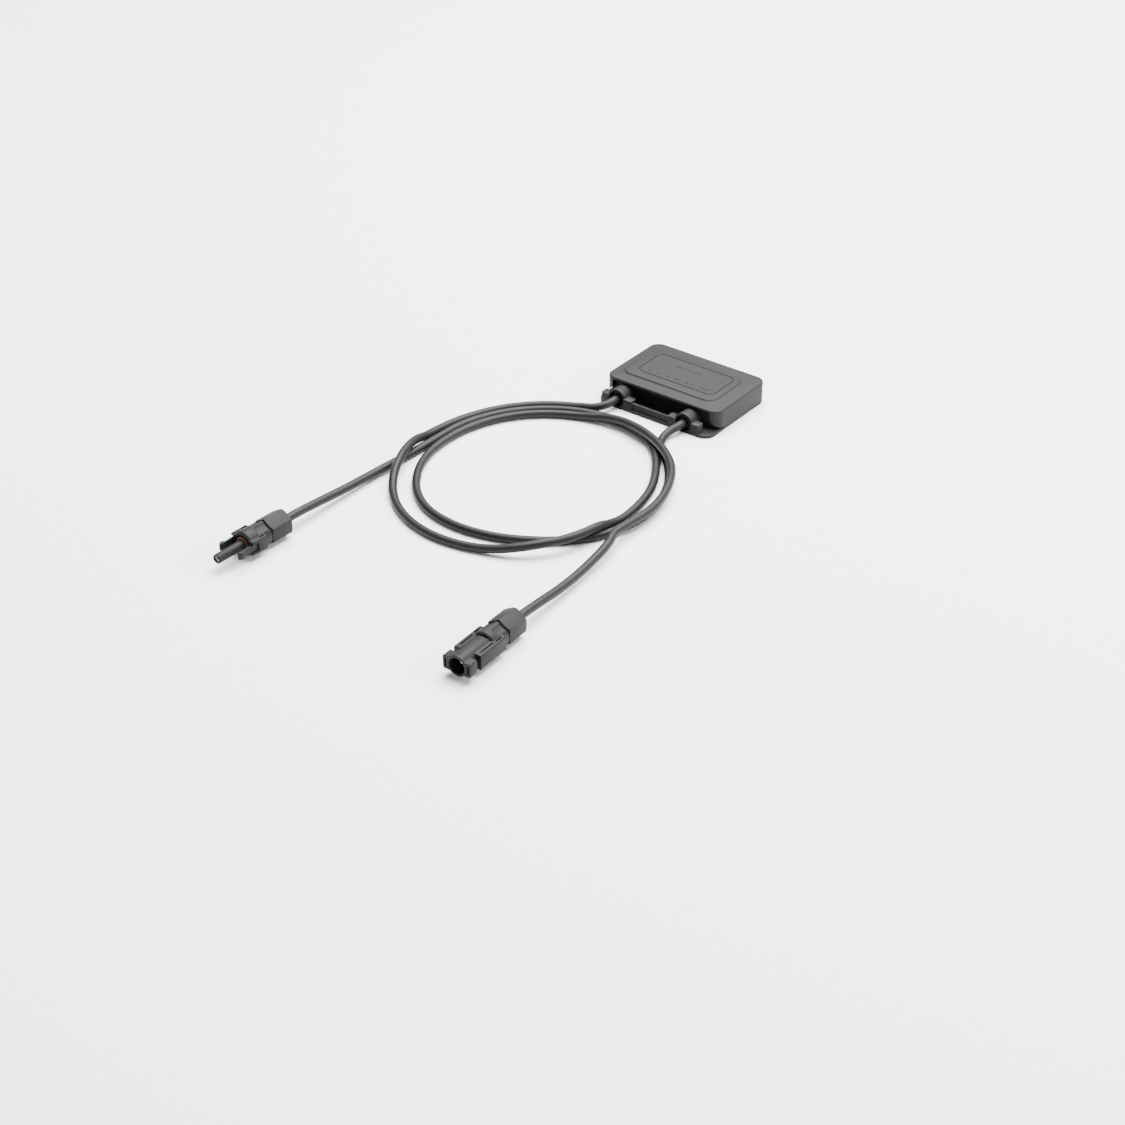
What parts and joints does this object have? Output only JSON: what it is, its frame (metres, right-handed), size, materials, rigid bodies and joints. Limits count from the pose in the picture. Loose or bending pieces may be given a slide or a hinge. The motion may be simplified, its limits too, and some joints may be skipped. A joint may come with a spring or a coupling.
{
  "type": "solar junction box",
  "caption": "Low flat junction box for the back of a solar panel, with a clip-fit cover and coiled leads that end in a mating pair of latching connectors.",
  "frame": {"origin": "middle of the box's underside, which is glued to the panel's back", "axes": "+Z out of the box's cover, +X along the box's long side, and the leads leave the box at -Y"},
  "size_m": [0.2258, 0.4199, 0.0203],
  "materials": {
    "housing_plastic": "fine-textured moulded black plastic, matte",
    "connector_plastic": "moulded black plastic, satin",
    "cage_plastic": "moulded dark grey plastic",
    "cable_sheath": "extruded black cable sheath, slight sheen",
    "seal_rubber": "soft moulded rubber, matte",
    "red_silicone": "dull red silicone",
    "tinned_contact": "tin-plated copper, satin",
    "bright_steel": "bright pressed steel",
    "copper_strand": "bare stranded copper",
    "diode_epoxy": "moulded epoxy"
  },
  "bodies": {
    "box": {"base_housing": "housing_plastic", "cover_gasket": "seal_rubber", "left_cable_seal": "seal_rubber", "left_cable_end": "cable_sheath", "left_conductor": "copper_strand", "left_crimp_lug": "tinned_contact", "left_cable_clamp": "bright_steel", "left_clamp_screw_1": "bright_steel", "left_clamp_screw_2": "bright_steel", "right_cable_seal": "seal_rubber", "right_cable_end": "cable_sheath", "right_conductor": "copper_strand", "right_crimp_lug": "tinned_contact", "right_cable_clamp": "bright_steel", "right_clamp_screw_1": "bright_steel", "right_clamp_screw_2": "bright_steel", "terminal_rail_1": "tinned_contact", "ribbon_clip_1": "bright_steel", "terminal_rail_2": "tinned_contact", "ribbon_clip_2": "bright_steel", "terminal_rail_3": "tinned_contact", "ribbon_clip_3": "bright_steel", "terminal_rail_4": "tinned_contact", "ribbon_clip_4": "bright_steel", "bypass_diode_1": "diode_epoxy", "bypass_diode_2": "diode_epoxy", "bypass_diode_3": "diode_epoxy", "shell_housing": "connector_plastic", "pin_contact": "tinned_contact", "probe_housing": "connector_plastic", "socket_contact": "tinned_contact", "probe_o_ring": "red_silicone", "shell_cable_end": "cable_sheath", "shell_cable_seal": "seal_rubber", "shell_clamping_cage": "cage_plastic", "probe_cable_end": "cable_sheath", "probe_cable_seal": "seal_rubber", "probe_clamping_cage": "cage_plastic", "cable_coil": "cable_sheath", "left_cable_lead": "cable_sheath", "right_cable_lead": "cable_sheath", "probe_cable_lead": "cable_sheath", "shell_cable_lead": "cable_sheath"},
    "cover": {"cover": "housing_plastic"},
    "shell_nut": {"shell_cap_nut": "connector_plastic"},
    "probe_nut": {"probe_cap_nut": "connector_plastic"},
    "left_finger": {"left_latch_finger": "connector_plastic"},
    "right_finger": {"right_latch_finger": "connector_plastic"}
  },
  "joints": [
    {"name": "cover_lift", "type": "slide", "parent": "box", "child": "cover", "axis": [0, 0, 1], "range_m": [0, 0.03]},
    {"name": "shell_nut_turn", "type": "hinge", "parent": "box", "child": "shell_nut", "pos_m": [0.09142, -0.32705, 0.0102], "axis": [-0.0419, 0.9991, 0], "continuous": true},
    {"name": "probe_nut_turn", "type": "hinge", "parent": "box", "child": "probe_nut", "pos_m": [-0.109, -0.32884, 0.0102], "axis": [0.0384, 0.9993, 0], "continuous": true},
    {"name": "left_finger_press", "type": "hinge", "parent": "box", "child": "left_finger", "pos_m": [-0.11872, -0.35248, 0.0102], "axis": [0, 0, 1], "range_deg": [0, 5], "stiffness_Nm_per_rad": 0.5},
    {"name": "right_finger_press", "type": "hinge", "parent": "box", "child": "right_finger", "pos_m": [-0.10113, -0.35316, 0.0102], "axis": [0, 0, 1], "range_deg": [-5, 0], "stiffness_Nm_per_rad": 0.5}
  ]
}
